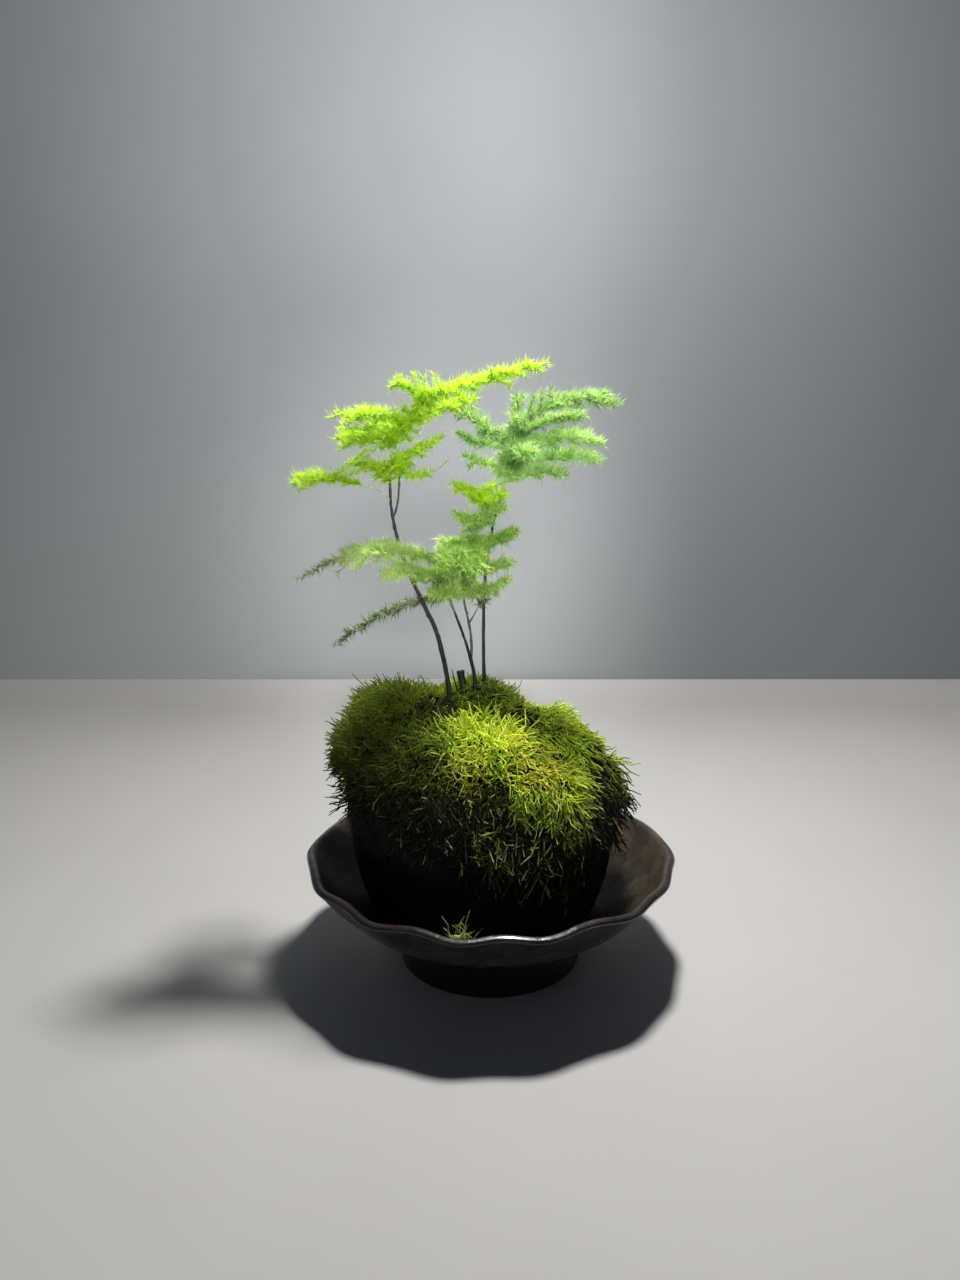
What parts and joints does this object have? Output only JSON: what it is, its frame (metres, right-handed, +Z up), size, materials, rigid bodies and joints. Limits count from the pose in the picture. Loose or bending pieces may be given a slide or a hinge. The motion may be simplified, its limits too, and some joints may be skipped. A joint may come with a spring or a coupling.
{
  "type": "lava rock bonsai",
  "caption": "Asparagus fern growing from a moss-covered lava rock that stands in a fluted, footed stoneware bowl.",
  "frame": {"origin": "middle of the bowl's foot, on the surface that it stands on", "axes": "+Z up along the stems, -Y towards the front of the planting, +X to its right"},
  "size_m": [0.1489, 0.1503, 0.2369],
  "materials": {
    "stoneware": "dark iron glaze with a dull metallic sheen, worn lighter along the rim",
    "lava_stone": "rough and porous, near black",
    "soil": "dark crumbly peat held by roots",
    "moss": "soft combed strands, yellow green on top and dark olive in the shade",
    "stems": "matt, near black green with small scales",
    "foliage": "matt needle-like cladodes, lime to blue green"
  },
  "bodies": {
    "root": {"bowl": "stoneware", "cut_stump": "stems", "dry_shoot": "stems", "fallen_moss_sprig": "moss", "lava_rock": "lava_stone", "left_frond_back": "foliage", "left_frond_crown_left": "foliage", "left_frond_crown_right": "foliage", "left_frond_inner": "foliage", "left_frond_low": "foliage", "left_frond_low_back": "foliage", "left_frond_middle": "foliage", "left_frond_sparse": "foliage", "left_frond_upper_left": "foliage", "left_frond_upper_right": "foliage", "left_stem": "stems", "middle_frond_back": "foliage", "middle_frond_crown_left": "foliage", "middle_frond_crown_right": "foliage", "middle_frond_front": "foliage", "middle_frond_front_right": "foliage", "middle_frond_grey": "foliage", "middle_frond_left": "foliage", "middle_frond_long": "foliage", "middle_frond_low_front": "foliage", "middle_frond_low_left": "foliage", "middle_frond_low_right": "foliage", "middle_frond_right": "foliage", "middle_frond_twig": "foliage", "middle_frond_upper_left": "foliage", "middle_frond_upper_right": "foliage", "middle_stem": "stems", "moss_pad_back_left": "moss", "moss_pad_back_right": "moss", "moss_pad_crown": "moss", "moss_pad_front_apron": "moss", "moss_pad_front_crest": "moss", "moss_pad_front_left": "moss", "moss_pad_left_cheek": "moss", "moss_pad_left_shoulder": "moss", "moss_pad_right_cheek": "moss", "moss_pad_right_edge": "moss", "moss_pad_right_shoulder": "moss", "right_frond_back": "foliage", "right_frond_crown_left": "foliage", "right_frond_crown_right": "foliage", "right_frond_front": "foliage", "right_frond_low_front": "foliage", "right_frond_low_left": "foliage", "right_frond_low_right": "foliage", "right_frond_middle_left": "foliage", "right_frond_middle_right": "foliage", "right_frond_upper_left": "foliage", "right_frond_upper_right": "foliage", "right_stem": "stems", "soil_plug": "soil"}
  },
  "joints": []
}
